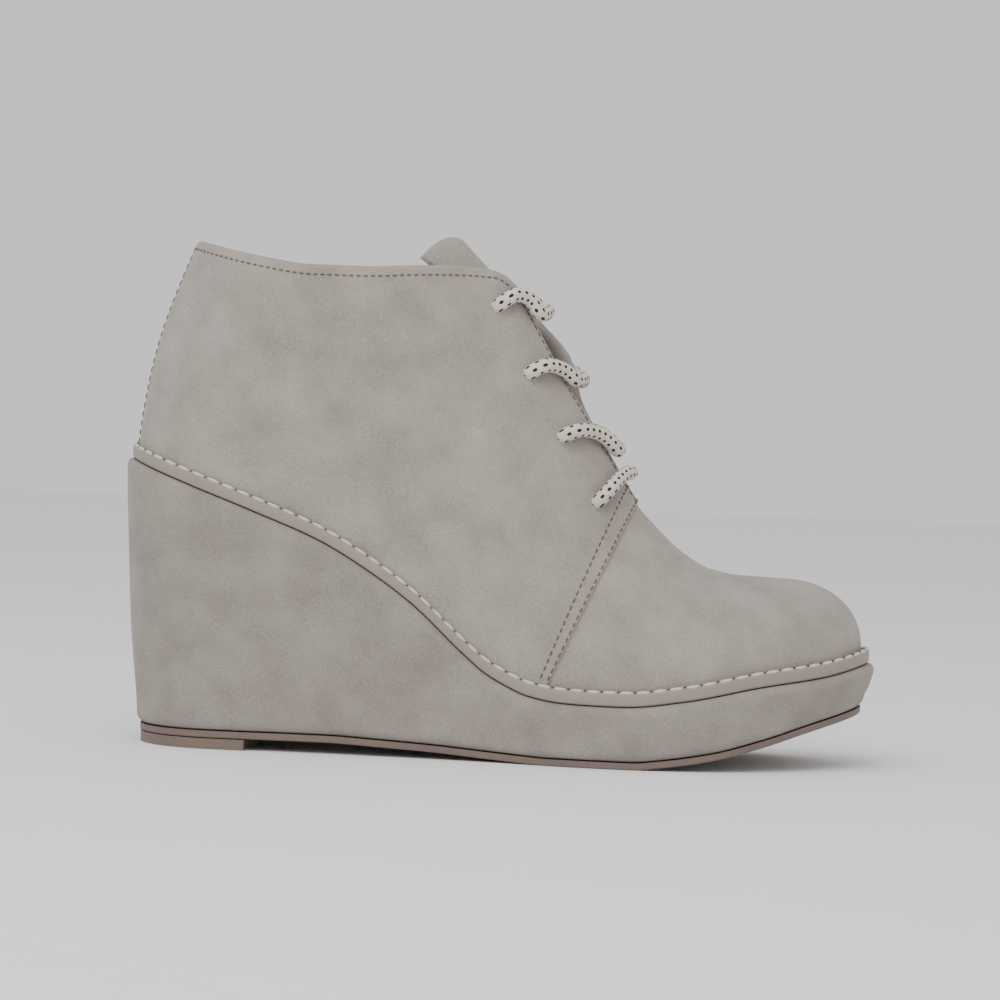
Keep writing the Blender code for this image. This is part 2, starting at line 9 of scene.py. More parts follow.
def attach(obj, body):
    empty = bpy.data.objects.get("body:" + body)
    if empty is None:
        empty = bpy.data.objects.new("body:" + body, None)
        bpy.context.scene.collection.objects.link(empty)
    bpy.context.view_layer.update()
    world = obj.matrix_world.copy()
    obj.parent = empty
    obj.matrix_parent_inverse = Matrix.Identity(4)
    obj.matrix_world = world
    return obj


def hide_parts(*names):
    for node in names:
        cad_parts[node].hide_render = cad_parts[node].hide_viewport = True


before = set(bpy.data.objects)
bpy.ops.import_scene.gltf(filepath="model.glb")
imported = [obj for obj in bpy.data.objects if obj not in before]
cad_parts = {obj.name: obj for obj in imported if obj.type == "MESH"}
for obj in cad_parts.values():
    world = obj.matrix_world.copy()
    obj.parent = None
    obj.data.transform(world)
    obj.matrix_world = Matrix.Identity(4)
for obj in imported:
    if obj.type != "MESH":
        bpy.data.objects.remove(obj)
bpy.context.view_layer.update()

# %% [markdown]
# A wedge ankle boot in microsuede. The imported model holds the solids: outsole, heel lug, covered wedge,
# welt, insole, upper, tongue and four lace crossings. This script gives them their finish. Soft pieces are
# made again from the same form at a higher resolution, with seams, stitches, soft creases and the cord.

# %% The nodes of the imported model
print("frame nodes:", ", ".join(sorted(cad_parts)))

# %% [markdown]
# Sizes in metres, as the maker's last and sole have them. The tables give one row for each section, as
# shares of these sizes, so that one function can draw the sole's outline and another the upper's form.

# %% Sizes of the last and the sole
LENGTH = 0.257
BALL_WIDTH = 0.0900
HEEL_WIDTH = 0.0660
HEEL_HEIGHT = 0.1020
PLATFORM_HEIGHT = 0.0249
TOE_SPRING = 0.0195
ARCH_LIFT = 0.0039
COLLAR_HEIGHT = 0.0691
COLLAR_WIDTH = 0.0660
TOE_BOX_HEIGHT = 0.0381
WALL = 0.0020
LAP = 0.0010
LAP_RUN = 0.0006
WELT_HEIGHT = 0.0043
WELT_WIDTH = 0.0120
WELT_PROUD = 0.0028
COVER_BULGE = 0.0018
COVER_ROUND = 0.0030
HEEL_RAKE = 0.0057
TOE_RAKE = 0.0030
OUTSOLE = 0.0023
OUTSOLE_INSET = 0.0012
INSOLE = 0.0030
TONGUE = 0.0022
LACE = 0.0048
FLAP_LIFT = 0.0045
GAP = 0.0003
UPPER_SEAT = 0.0005
HEEL_REST = 0.102

# %% Tables of sections
OUTLINE = {
    "at": (0.0, 0.0235, 0.06, 0.12, 0.20, 0.30, 0.40, 0.50, 0.60, 0.68, 0.74, 0.80, 0.86, 0.92, 0.96, 1.0),
    "half": (0.0, 0.29, 0.42, 0.49, 0.50, 0.49, 0.475, 0.465, 0.475, 0.49, 0.497, 0.487,
             0.447, 0.366, 0.274, 0.0),
    "ball": (0.0, 0.0, 0.0, 0.0, 0.0, 0.02, 0.10, 0.35, 0.75, 0.95, 1.0, 1.0, 1.0, 1.0, 1.0, 1.0),
    "axis": (0.0, 0.0, 0.0, 0.0, 0.0, -0.02, -0.04, -0.048, -0.043, -0.023, 0.0, 0.014,
             0.031, 0.051, 0.062, 0.067),
}
TOP_EDGE = {
    "at": (0.0, 0.118, 0.188, 0.273, 0.33, 0.396, 0.465, 0.496, 0.525, 0.552, 0.60, 0.68,
           0.756, 0.851, 0.938, 1.0),
    "rise": (1.0, 0.859, 0.773, 0.661, 0.556, 0.406, 0.201, 0.118, 0.066, 0.03, 0.006, 0.0,
             0.0, 0.0, 0.0, 0.0),
    "spring": (0.0, 0.0, 0.0, 0.0, 0.0, 0.0, 0.0, 0.0, 0.0, 0.0, 0.0, 0.01, 0.135, 0.40, 0.585, 0.80),
}
UNDERSIDE = {
    "at": (0.0, 0.287, 0.358, 0.429, 0.50, 0.55, 0.58, 0.69, 0.727, 0.791, 0.855, 0.918, 1.0),
    "arch": (1.0, 1.0, 0.82, 0.60, 0.28, 0.08, 0.0, 0.0, 0.0, 0.0, 0.0, 0.0, 0.0),
    "spring": (0.0, 0.0, 0.0, 0.0, 0.0, 0.0, 0.0, 0.0, 0.05, 0.19, 0.42, 0.69, 1.0),
}
RIBS = {
    "foot": (0.0, 0.025, 0.085, 0.165, 0.255, 0.33, 0.392, 0.43, 0.455, 0.474, 0.492, 0.517,
             0.541, 0.562, 0.574,
             0.625, 0.675, 0.725, 0.775, 0.825, 0.87, 0.915, 0.96, 1.0),
    "top": (0.0865, 0.0965, 0.132, 0.188, 0.254, 0.322, 0.388, 0.441, 0.483, 0.507, 0.528, 0.572,
            0.619, 0.661, 0.679,
            0.705, 0.74, 0.778, 0.814, 0.838, 0.853, 0.864, 0.871, 0.875),
    "shaft": (0.989, 0.983, 0.962, 0.935, 0.915, 0.914, 0.923, 0.927, 0.921, 0.884, 0.805, 0.62,
              0.443, 0.281, 0.219,
              0.152, 0.0755, 0.0245, 0.007, 0.004, 0.002, 0.001, 0.0, 0.0),
    "half": (0.0, 0.17, 0.34, 0.455, 0.5, 0.48, 0.415, 0.31, 0.20, 0.145, 0.125, 0.095, 0.065, 0.04, 0.02,
             0.0, 0.0, 0.0, 0.0, 0.0, 0.0, 0.0, 0.0, 0.0),
    "round": (0.0, 0.0, 0.0, 0.0, 0.0, 0.08, 0.25, 0.5, 0.75, 0.9, 1.0, 1.0, 1.0, 1.0, 1.0,
              1.0, 1.0, 1.0, 1.0, 1.0, 1.0, 1.0, 1.0, 1.0),
    "peak": (1.2, 1.2, 1.2, 1.2, 1.2, 1.2, 1.2, 1.2, 1.2, 1.25, 1.3, 1.35, 1.4, 1.4, 1.35,
             1.25, 1.12, 1.0, 0.95, 0.93, 0.93, 0.93, 0.93, 0.93),
    "sweep": (0.0, 0.0, 0.0, 0.0, 0.0, 0.0, 0.0, 0.0, 0.0, 0.0, 0.0, 0.0, 0.0, 0.0, 0.0,
              0.05, 0.15, 0.35, 0.6, 0.82, 0.95, 1.0, 1.0, 1.0),
    "bow": (0.047, 0.046, 0.042, 0.026, 0.010, 0.0, 0.0, 0.0, 0.0, 0.0, 0.0, 0.0, 0.0, 0.0, 0.0,
            0.0, 0.0, 0.0, 0.0, 0.0, 0.0, 0.0, 0.0, 0.0),
    "swell": (0.0, 0.0, 0.0, 0.01, 0.02, 0.03, 0.03, 0.03, 0.03, 0.03, 0.03, 0.03, 0.03, 0.03, 0.03,
              0.03, 0.03, 0.03, 0.03, 0.03, 0.03, 0.03, 0.03, 0.03),
}
LACE_HOLES = {
    "rib": (8.4, 10.35, 11.4, 12.55),
    "inset": (0.62, 1.02, 1.04, 1.16),
}
HOLE_INSET = 0.0175
HOLE_WIDTH = 0.0046
LIFT = {"rib": 10.85, "spread": 0.5, "sharpness": 7, "toward": (0.87, 0.0, 0.49)}
EDGE_RIB = 14
LAST_RIB = 23
FULLNESS = 0.93
print("sections:", len(OUTLINE["at"]), "outline rows,", len(RIBS["foot"]), "ribs")

# %% [markdown]
# The form functions. A monotone cubic reads each table smoothly. The outline is walked by an angle, so that
# heel and toe come out round, and each rib of the upper runs from the welt up to the collar, the throat
# or the ridge of the vamp.


# %% Reading a table smoothly
def smooth(table, column, key, where):
    x = np.asarray(table[key], float)
    y = np.asarray(table[column], float)
    step = np.diff(x)
    slope = np.diff(y) / step
    rate = np.zeros(len(x))
    for i in range(1, len(x) - 1):
        if slope[i - 1] * slope[i] > 0.0:
            near = 2.0 * step[i] + step[i - 1]
            far = step[i] + 2.0 * step[i - 1]
            rate[i] = (near + far) / (near / slope[i - 1] + far / slope[i])
    rate[0] = slope[0]
    rate[-1] = slope[-1]
    at = np.clip(np.asarray(where, float), x[0], x[-1])
    i = np.clip(np.searchsorted(x, at, side="right") - 1, 0, len(x) - 2)
    t = (at - x[i]) / step[i]
    ease = t * t * (3.0 - 2.0 * t)
    bend = step[i] * t * (1.0 - t) * (rate[i] * (1.0 - t) - rate[i + 1] * t)
    return y[i] + (y[i + 1] - y[i]) * ease + bend


# %% The sole's outline and heights
def turn(at):
    return np.arccos(1.0 - 2.0 * np.clip(at, 0.0, 1.0))


TURNED = {"turn": turn(OUTLINE["at"]), **OUTLINE}


def share(x):
    return np.clip(np.asarray(x, float) / LENGTH + HEEL_REST, 0.0, 1.0)


def top_edge(x):
    fall = (HEEL_HEIGHT - PLATFORM_HEIGHT) * smooth(TOP_EDGE, "rise", "at", share(x))
    return PLATFORM_HEIGHT + fall + TOE_SPRING * smooth(TOP_EDGE, "spring", "at", share(x))


def underside(x):
    arch = ARCH_LIFT * smooth(UNDERSIDE, "arch", "at", share(x))
    return arch + TOE_SPRING * smooth(UNDERSIDE, "spring", "at", share(x))


def middle(x):
    return BALL_WIDTH * smooth(OUTLINE, "axis", "at", share(x))


def outline(angle, side):
    width = HEEL_WIDTH + (BALL_WIDTH - HEEL_WIDTH) * smooth(TURNED, "ball", "turn", angle)
    x = LENGTH * ((1.0 - np.cos(angle)) / 2.0 - HEEL_REST)
    half = width * smooth(TURNED, "half", "turn", angle)
    y = BALL_WIDTH * smooth(TURNED, "axis", "turn", angle) + side * half
    return np.stack([x, y], axis=-1)


def inset_outline(angle, side, inset):
    small = 1e-3
    before = outline(np.maximum(angle - small, 0.0), side)
    after = outline(np.minimum(angle + small, math.pi), side)
    along = after - before
    along /= np.linalg.norm(along, axis=-1, keepdims=True)
    inward = np.stack([along[..., 1], -along[..., 0]], axis=-1) * side
    ends = (angle < small) | (angle > math.pi - small)
    inward[ends] = np.stack([np.cos(angle[ends]), np.zeros(ends.sum())], axis=-1)
    return outline(angle, side) + inward * np.asarray(inset)[..., None]


OUTLINE_STEPS = 220


def ring(inset, lean=0.0, steps=OUTLINE_STEPS):
    """Plan points up the outer side and back along the inner one."""
    angles = np.linspace(0.0, math.pi, steps)
    rake = -TOE_RAKE + (HEEL_RAKE + TOE_RAKE) * (1.0 + np.cos(angles)) / 2.0
    inset = inset + 0.5 * HEEL_RAKE * lean * np.sin(angles) * (1.0 + np.cos(angles)) / 2.0
    sides = []
    for side in (-1, 1):
        points = inset_outline(angles, side, np.broadcast_to(inset, angles.shape))
        points[:, 0] += rake * lean
        sides.append(points)
    return np.concatenate([sides[0], sides[1][-2:0:-1]])


print("welt above the floor: heel %.1f mm, ball %.1f mm" % (1e3 * top_edge(-0.02), 1e3 * top_edge(0.14)))


# %% The upper's ribs
def rib(number):
    rows = {"row": np.arange(len(RIBS["foot"])), **RIBS}
    found = {column: float(smooth(rows, column, "row", number)) for column in RIBS}
    turned = {"row": rows["row"], "turn": turn(RIBS["foot"])}
    found["turn"] = float(smooth(turned, "turn", "row", number))
    return found


def flap_lift(number, side, levels):
    if side < 0:
        return np.zeros(len(levels))
    along = (number - LIFT["rib"]) / LIFT["spread"]
    return FLAP_LIFT * math.exp(-along * along) * np.asarray(levels) ** LIFT["sharpness"]


def rib_points(number, side, levels, lifted=True):
    """Points up one rib of the upper's outer face, from the welt to its top."""
    row = rib(number)
    foot = inset_outline(np.array([row["turn"]]), side, np.array([COVER_BULGE + WELT_PROUD]))[0]
    foot_z = float(top_edge(foot[0])) + UPPER_SEAT
    top_x = LENGTH * (row["top"] - HEEL_REST)
    shaft = HEEL_HEIGHT + COLLAR_HEIGHT - PLATFORM_HEIGHT - TOE_BOX_HEIGHT
    top_z = PLATFORM_HEIGHT + TOE_BOX_HEIGHT + shaft * row["shaft"]
    top_y = float(middle(top_x)) + side * COLLAR_WIDTH * row["half"]
    levels = np.asarray(levels, float)
    rise = np.sin(levels * math.pi / 2.0) ** FULLNESS
    fall = 1.0 - np.maximum(np.cos(levels * math.pi / 2.0), 0.0) ** row["peak"]
    up = levels + (rise - levels) * row["round"]
    across = levels + (fall - levels) * row["round"]
    forward = up + (across - up) * row["sweep"]
    swell = row["swell"] * (foot[1] - middle(foot[0])) * np.sin(levels * math.pi) * (1.0 - levels)
    bow = row["bow"] * COLLAR_HEIGHT * np.sin(levels * math.pi)
    x = foot[0] + (top_x - foot[0]) * forward - bow
    y = foot[1] + (top_y - foot[1]) * across + swell
    z = foot_z + (top_z - foot_z) * up
    points = np.column_stack([x, y, z])
    if lifted:
        points += np.outer(flap_lift(number, side, levels), LIFT["toward"])
    return points


def wall_at(number, side, level, lifted=True):
    """A point of the quarter's outer face, and its outward normal."""
    small = 0.01
    here = rib_points(number, side, (level - small, level, min(level + small, 1.0)), lifted)
    before = rib_points(max(number - small, 0.0), side, (level,), lifted)[0]
    after = rib_points(number + small, side, (level,), lifted)[0]
    normal = np.cross(after - before, here[2] - here[0]) * -side
    normal /= np.linalg.norm(normal)
    lap = LAP if number < EDGE_RIB else 0.0
    return here[1] + normal * lap, normal


print("collar's back at %.1f mm" % (1e3 * rib_points(0, -1, (1.0,))[0][2]))

# %% [markdown]
# The finishes. Microsuede is a short nap: it has fine speckle, cloudy patches where the nap lies another
# way, and a soft sheen. One node group gives both the speckle and the clouds, and each material sets its own
# two colours and scales. The colours were chosen from the photograph.


# %% Shared grain of suede, rubber and lining
SPECKLE_SHARE = 0.6
GRAIN_CONTRAST = (0.35, 0.65)


def math_node(tree, operation, first, second=None):
    node = tree.nodes.new("ShaderNodeMath")
    node.operation = operation
    for socket, value in zip(node.inputs, (first, second)):
        if hasattr(value, "links"):
            tree.links.new(value, socket)
        elif value is not None:
            socket.default_value = value
    return node.outputs[0]


def make_grain():
    group = bpy.data.node_groups.new("nap_grain", "ShaderNodeTree")
    for name in ("Dark", "Light"):
        group.interface.new_socket(name, in_out="INPUT", socket_type="NodeSocketColor")
    for name in ("Speckle scale", "Cloud scale", "Bump depth", "Roughness"):
        group.interface.new_socket(name, in_out="INPUT", socket_type="NodeSocketFloat")
    group.interface.new_socket("Colour", in_out="OUTPUT", socket_type="NodeSocketColor")
    group.interface.new_socket("Roughness", in_out="OUTPUT", socket_type="NodeSocketFloat")
    group.interface.new_socket("Normal", in_out="OUTPUT", socket_type="NodeSocketVector")
    given = group.nodes.new("NodeGroupInput")
    result = group.nodes.new("NodeGroupOutput")
    place = group.nodes.new("ShaderNodeTexCoord")
    noises = []
    for scale in ("Speckle scale", "Cloud scale"):
        noise = group.nodes.new("ShaderNodeTexNoise")
        noise.inputs["Detail"].default_value = 3.0
        group.links.new(place.outputs["Object"], noise.inputs["Vector"])
        group.links.new(given.outputs[scale], noise.inputs["Scale"])
        noises.append(noise.outputs[0])
    speckle, cloud = noises
    fine = math_node(group, "MULTIPLY", speckle, SPECKLE_SHARE)
    coarse = math_node(group, "MULTIPLY", cloud, 1.0 - SPECKLE_SHARE)
    both = math_node(group, "ADD", fine, coarse)
    spread = group.nodes.new("ShaderNodeMapRange")
    spread.inputs["From Min"].default_value = GRAIN_CONTRAST[0]
    spread.inputs["From Max"].default_value = GRAIN_CONTRAST[1]
    group.links.new(both, spread.inputs["Value"])
    mix = group.nodes.new("ShaderNodeMix")
    mix.data_type = "RGBA"
    group.links.new(spread.outputs["Result"], mix.inputs[0])
    group.links.new(given.outputs["Dark"], mix.inputs[6])
    group.links.new(given.outputs["Light"], mix.inputs[7])
    group.links.new(mix.outputs[2], result.inputs["Colour"])
    uneven = math_node(group, "MULTIPLY", math_node(group, "SUBTRACT", cloud, 0.5), 0.2)
    group.links.new(math_node(group, "ADD", given.outputs["Roughness"], uneven), result.inputs["Roughness"])
    bump = group.nodes.new("ShaderNodeBump")
    bump.inputs["Strength"].default_value = 0.5
    group.links.new(given.outputs["Bump depth"], bump.inputs["Distance"])
    group.links.new(speckle, bump.inputs["Height"])
    group.links.new(bump.outputs["Normal"], result.inputs["Normal"])
    return group


GRAIN = make_grain()


def finish_of(name, dark, light, speckle=2400.0, cloud=70.0, bump=0.0003, roughness=0.9, sheen=0.0):
    made = bpy.data.materials.new(name)
    made.use_nodes = True
    tree = made.node_tree
    shader = tree.nodes["Principled BSDF"]
    grain = tree.nodes.new("ShaderNodeGroup")
    grain.node_tree = GRAIN
    grain.inputs["Dark"].default_value = (*dark, 1.0)
    grain.inputs["Light"].default_value = (*light, 1.0)
    grain.inputs["Speckle scale"].default_value = speckle
    grain.inputs["Cloud scale"].default_value = cloud
    grain.inputs["Bump depth"].default_value = bump
    grain.inputs["Roughness"].default_value = roughness
    tree.links.new(grain.outputs["Colour"], shader.inputs["Base Color"])
    tree.links.new(grain.outputs["Roughness"], shader.inputs["Roughness"])
    tree.links.new(grain.outputs["Normal"], shader.inputs["Normal"])
    shader.inputs["Sheen Weight"].default_value = sheen
    shader.inputs["Sheen Roughness"].default_value = 0.5
    shader.inputs["Specular IOR Level"].default_value = 0.25
    return made


suede = finish_of("upper_suede", (0.265, 0.232, 0.203), (0.430, 0.382, 0.336), sheen=0.15)
cover_suede = finish_of("cover_suede", (0.225, 0.196, 0.172), (0.370, 0.328, 0.288), sheen=0.12)
lining = finish_of("lining_cloth", (0.300, 0.262, 0.228), (0.400, 0.352, 0.306), speckle=1500.0)
welt_satin = finish_of("welt_satin", (0.285, 0.249, 0.215), (0.335, 0.294, 0.254),
                       cloud=30.0, bump=0.00005, roughness=0.45)
rubber = finish_of("outsole_rubber", (0.150, 0.112, 0.094), (0.215, 0.162, 0.136),
                   cloud=40.0, bump=0.0001, roughness=0.6)
board = finish_of("insole_cloth", (0.360, 0.305, 0.255), (0.460, 0.398, 0.335),
                  speckle=1500.0, roughness=0.8)
dark_thread = finish_of("upper_thread", (0.095, 0.072, 0.058), (0.150, 0.118, 0.098),
                        bump=0.0001, roughness=0.7)
pale_thread = finish_of("welt_thread", (0.520, 0.500, 0.420), (0.660, 0.630, 0.540),
                        bump=0.0001, roughness=0.7)

# %% [markdown]
# The cord is a round braid: cream yarn with a dark fleck at every other crossing. The flecks follow the
# cord's own UV, whose first number is the length in metres and whose second runs once round.

# %% The cord's finish
FLECK_PITCH = 0.0028
FLECKS_ROUND = 6.0
FLECK_SIZE = 0.46


def make_cord_finish():
    made = finish_of("lace_cord", (0.560, 0.500, 0.450), (0.760, 0.700, 0.640),
                     speckle=1800.0, roughness=0.85)
    tree = made.node_tree
    where = tree.nodes.new("ShaderNodeSeparateXYZ")
    tree.links.new(tree.nodes.new("ShaderNodeTexCoord").outputs["UV"], where.inputs[0])
    column = math_node(tree, "MULTIPLY", where.outputs[1], FLECKS_ROUND)
    stagger = math_node(tree, "MULTIPLY", math_node(tree, "FLOOR", column), 0.5)
    row = math_node(tree, "ADD", math_node(tree, "DIVIDE", where.outputs[0], FLECK_PITCH), stagger)
    along = math_node(tree, "SUBTRACT", math_node(tree, "FRACT", row), 0.5)
    across = math_node(tree, "SUBTRACT", math_node(tree, "FRACT", column), 0.5)
    squares = math_node(tree, "ADD", math_node(tree, "MULTIPLY", along, along),
                        math_node(tree, "MULTIPLY", across, across))
    distance = math_node(tree, "SQRT", squares)
    fleck = math_node(tree, "LESS_THAN", distance, FLECK_SIZE / 2.0)
    shader = tree.nodes["Principled BSDF"]
    cream = shader.inputs["Base Color"].links[0].from_socket
    mix = tree.nodes.new("ShaderNodeMix")
    mix.data_type = "RGBA"
    tree.links.new(fleck, mix.inputs[0])
    tree.links.new(cream, mix.inputs[6])
    mix.inputs[7].default_value = (0.028, 0.020, 0.016, 1.0)
    tree.links.new(mix.outputs[2], shader.inputs["Base Color"])
    return made


cord_finish = make_cord_finish()
print("finishes:", len(bpy.data.materials))

# %% [markdown]
# Sole pieces are lofted rings round the outline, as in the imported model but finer, with rounded corners.

# %% Lofting rings
COVER_LEAN = {"level": (0.0, 0.05, 0.35, 0.70, 0.93, 1.0), "lean": (1.0, 0.95, 0.50, 0.20, 0.03, 0.0)}
CORNER_ROWS = 5
SIDE_ROWS = 20
WELT_ROUND = 0.0008
OUTSOLE_ROUND = 0.0006
INSOLE_EDGE = 0.4
SHARP_ANGLE = math.radians(50.0)


def place_piece(name, mesh, look, node):
    """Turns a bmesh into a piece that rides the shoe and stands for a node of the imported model."""
    bmesh.ops.recalc_face_normals(mesh, faces=mesh.faces)
    data = bpy.data.meshes.new(name)
    mesh.to_mesh(data)
    mesh.free()
    for polygon in data.polygons:
        polygon.use_smooth = True
    data.set_sharp_from_angle(angle=SHARP_ANGLE)
    data.materials.append(look)
    piece = bpy.data.objects.new(name, data)
    bpy.context.scene.collection.objects.link(piece)
    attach(piece, "root")
    if node:
        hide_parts(node)
    print(name, "has", len(data.polygons), "faces")
    return piece


def cap_across(mesh, row):
    last = len(row) // 2
    mesh.faces.new((row[0], row[1], row[-1]))
    for i in range(1, last - 1):
        mesh.faces.new((row[i], row[i + 1], row[-i - 1], row[-i]))
    mesh.faces.new((row[last - 1], row[last], row[last + 1]))


def loft(rings, closed=False):
    mesh = bmesh.new()
    rows = [[mesh.verts.new(point) for point in points] for points in rings]
    pairs = list(zip(rows, rows[1:]))
    if closed:
        pairs.append((rows[-1], rows[0]))
    for low, high in pairs:
        for i in range(len(low)):
            j = (i + 1) % len(low)
            mesh.faces.new((low[i], low[j], high[j], high[i]))
    if not closed:
        cap_across(mesh, rows[0])
        cap_across(mesh, rows[-1])
    return mesh


def raised(inset, lean, height):
    points = ring(inset, lean)
    return np.column_stack([points, height(points[:, 0])])


# %% Outsole, covered wedge, welt and insole
def outsole_rings():
    corner = np.linspace(0.0, math.pi / 2.0, CORNER_ROWS)
    rings = []
    for a in corner:
        lift = OUTSOLE_ROUND * (1.0 - math.cos(a))
        inset = OUTSOLE_INSET + OUTSOLE_ROUND * (1.0 - math.sin(a))
        rings.append(raised(inset, 1.0, lambda x, lift=lift: underside(x) + lift))
    rings.append(raised(OUTSOLE_INSET, 1.0, lambda x: underside(x) + OUTSOLE))
    return rings


def cover_rings():
    def low(x):
        return underside(x) + OUTSOLE + GAP

    def high(x):
        return top_edge(x) - WELT_HEIGHT - GAP

    corner = np.linspace(0.0, math.pi / 2.0, CORNER_ROWS)
    rings = []
    for a in corner:
        lift = COVER_ROUND * (1.0 - math.cos(a))
        rings.append(raised(COVER_ROUND * (1.0 - math.sin(a)), 1.0, lambda x, lift=lift: low(x) + lift))
    for level in np.linspace(0.0, 1.0, SIDE_ROWS)[1:-1]:
        lean = float(smooth(COVER_LEAN, "lean", "level", level))
        rings.append(raised(0.0, lean, lambda x, level=level: low(x) + COVER_ROUND
                            + (high(x) - low(x) - 2.0 * COVER_ROUND) * level))
    for a in corner[::-1]:
        lift = COVER_ROUND * (1.0 - math.cos(a))
        rings.append(raised(COVER_ROUND * (1.0 - math.sin(a)), 0.0, lambda x, lift=lift: high(x) - lift))
    step = COVER_BULGE + WELT_WIDTH + GAP
    rings.append(raised(step, 0.0, high))
    rings.append(raised(step, 0.0, lambda x: top_edge(x) - GAP))
    return rings


def welt_rings():
    corner = np.linspace(0.0, math.pi / 2.0, CORNER_ROWS)
    rings = []
    for a in corner:
        inset = COVER_BULGE + WELT_ROUND * (1.0 - math.sin(a))
        lift = WELT_ROUND * (1.0 - math.cos(a))
        rings.append(raised(inset, 0.0, lambda x, lift=lift: top_edge(x) - WELT_HEIGHT + lift))
    for a in corner[::-1]:
        inset = COVER_BULGE + WELT_ROUND * (1.0 - math.sin(a))
        lift = WELT_ROUND * (1.0 - math.cos(a))
        rings.append(raised(inset, 0.0, lambda x, lift=lift: top_edge(x) - lift))
    rings.append(raised(COVER_BULGE + WELT_WIDTH, 0.0, top_edge))
    rings.append(raised(COVER_BULGE + WELT_WIDTH, 0.0, lambda x: top_edge(x) - WELT_HEIGHT))
    return rings


def insole_rings():
    inset = COVER_BULGE + WELT_PROUD + LAP + WALL + 2.0 * GAP
    rings = [raised(inset, 0.0, lambda x: top_edge(x) + GAP)]
    for a in np.linspace(0.0, math.pi / 2.0, CORNER_ROWS):
        drop = INSOLE * INSOLE_EDGE * (1.0 - math.sin(a))
        edge = INSOLE * INSOLE_EDGE * (1.0 - math.cos(a))
        rings.append(raised(inset + edge, 0.0, lambda x, drop=drop: top_edge(x) + GAP + INSOLE - drop))
    return rings


place_piece("outsole_sheet", loft(outsole_rings()), rubber, "outsole")
place_piece("wedge_skin", loft(cover_rings()), cover_suede, "wedge_cover")
place_piece("welt_strip", loft(welt_rings(), closed=True), welt_satin, "welt")
place_piece("insole_board", loft(insole_rings()), board, "insole")
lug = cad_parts["heel_lug"]
if not lug.material_slots:
    lug.data.materials.append(rubber)
for slot in lug.material_slots:
    slot.material = rubber

# %% [markdown]
# The upper is one wall of suede over a cloth lining. The quarters lap over the vamp at a step, the rim at
# the collar and the throat is folded round, and a few soft creases lie where the ankle and the ball bend.

# %% The upper's grid and creases
RIBS_EACH = 6
UPPER_ROWS = 36
RIM_ROWS = 3
CREASE_ENDS = (0.08, 0.92)
CREASES = {
    "rib": (1.5, 3.0, 6.0, 15.0, 16.5, 18.0),
    "level": (0.62, 0.50, 0.46, 0.35, 0.42, 0.40),
    "to_rib": (5.0, 6.5, 9.5, 16.3, 17.6, 19.0),
    "to_level": (0.50, 0.36, 0.58, 0.85, 0.90, 0.86),
    "width": (0.0055, 0.0050, 0.0060, 0.0050, 0.0045, 0.0045),
    "depth": (0.0009, 0.0007, 0.0008, 0.0007, 0.0006, 0.0004),
}


def rib_numbers():
    numbers = list(np.arange(0, LAST_RIB * RIBS_EACH + 1) / RIBS_EACH)
    at = numbers.index(EDGE_RIB)
    spacing = LENGTH * (RIBS["foot"][EDGE_RIB + 1] - RIBS["foot"][EDGE_RIB])
    apart = LAP_RUN / spacing
    numbers[at] = EDGE_RIB - apart / 2.0
    numbers.insert(at + 1, EDGE_RIB + apart / 2.0)
    return np.array(numbers)


def crease_depth(points, side):
    depth = np.zeros(points.shape[:-1])
    for number, level, to_number, to_level, width, deep in zip(*CREASES.values()):
        start = rib_points(number, side, (level,))[0]
        run = rib_points(to_number, side, (to_level,))[0] - start
        along = np.clip((points - start) @ run / (run @ run), 0.0, 1.0)
        away = np.linalg.norm(points - start - along[..., None] * run, axis=-1) / width
        depth += deep * np.exp(-away * away) * np.sin(math.pi * np.clip(along, *CREASE_ENDS))
    return depth


def upper_skins():
    numbers = rib_numbers()
    levels = np.linspace(0.0, 1.0, UPPER_ROWS)
    grid = np.array([[rib_points(number, side, levels) for number in numbers] for side in (-1, 1)])
    shared = grid.mean(axis=0)
    ridge = numbers > EDGE_RIB
    grid[:, ridge, -1] = shared[ridge, -1]
    grid[:, 0] = shared[0]
    grid[:, -1] = shared[-1]
    normals = np.empty_like(grid)
    for i, side in enumerate((-1, 1)):
        normals[i] = np.cross(np.gradient(grid[i], axis=0), np.gradient(grid[i], axis=1)) * -side
    mirrored = normals[::-1] * (1.0, -1.0, 1.0)
    for at in (0, -1):
        normals[:, at] += mirrored[:, at]
        normals[:, at, :, 1] = 0.0
    normals[:, ridge, -1] = normals[:, ridge, -1] + normals[::-1][:, ridge, -1]
    normals /= np.maximum(np.linalg.norm(normals, axis=-1, keepdims=True), 1e-12)
    dent = np.stack([crease_depth(grid[i], side) for i, side in enumerate((-1, 1))])
    dent *= np.sin(levels * math.pi)
    dent[:, (0, -1)] = 0.0
    lap = np.where(numbers < EDGE_RIB, LAP, 0.0)[None, :, None, None]
    skins = [grid + normals * (lap - dent[..., None]), grid - normals * (WALL + dent[..., None])]
    for skin in skins:
        skin[:, :, 0, 2] = top_edge(skin[:, :, 0, 0]) + UPPER_SEAT
    return numbers, skins


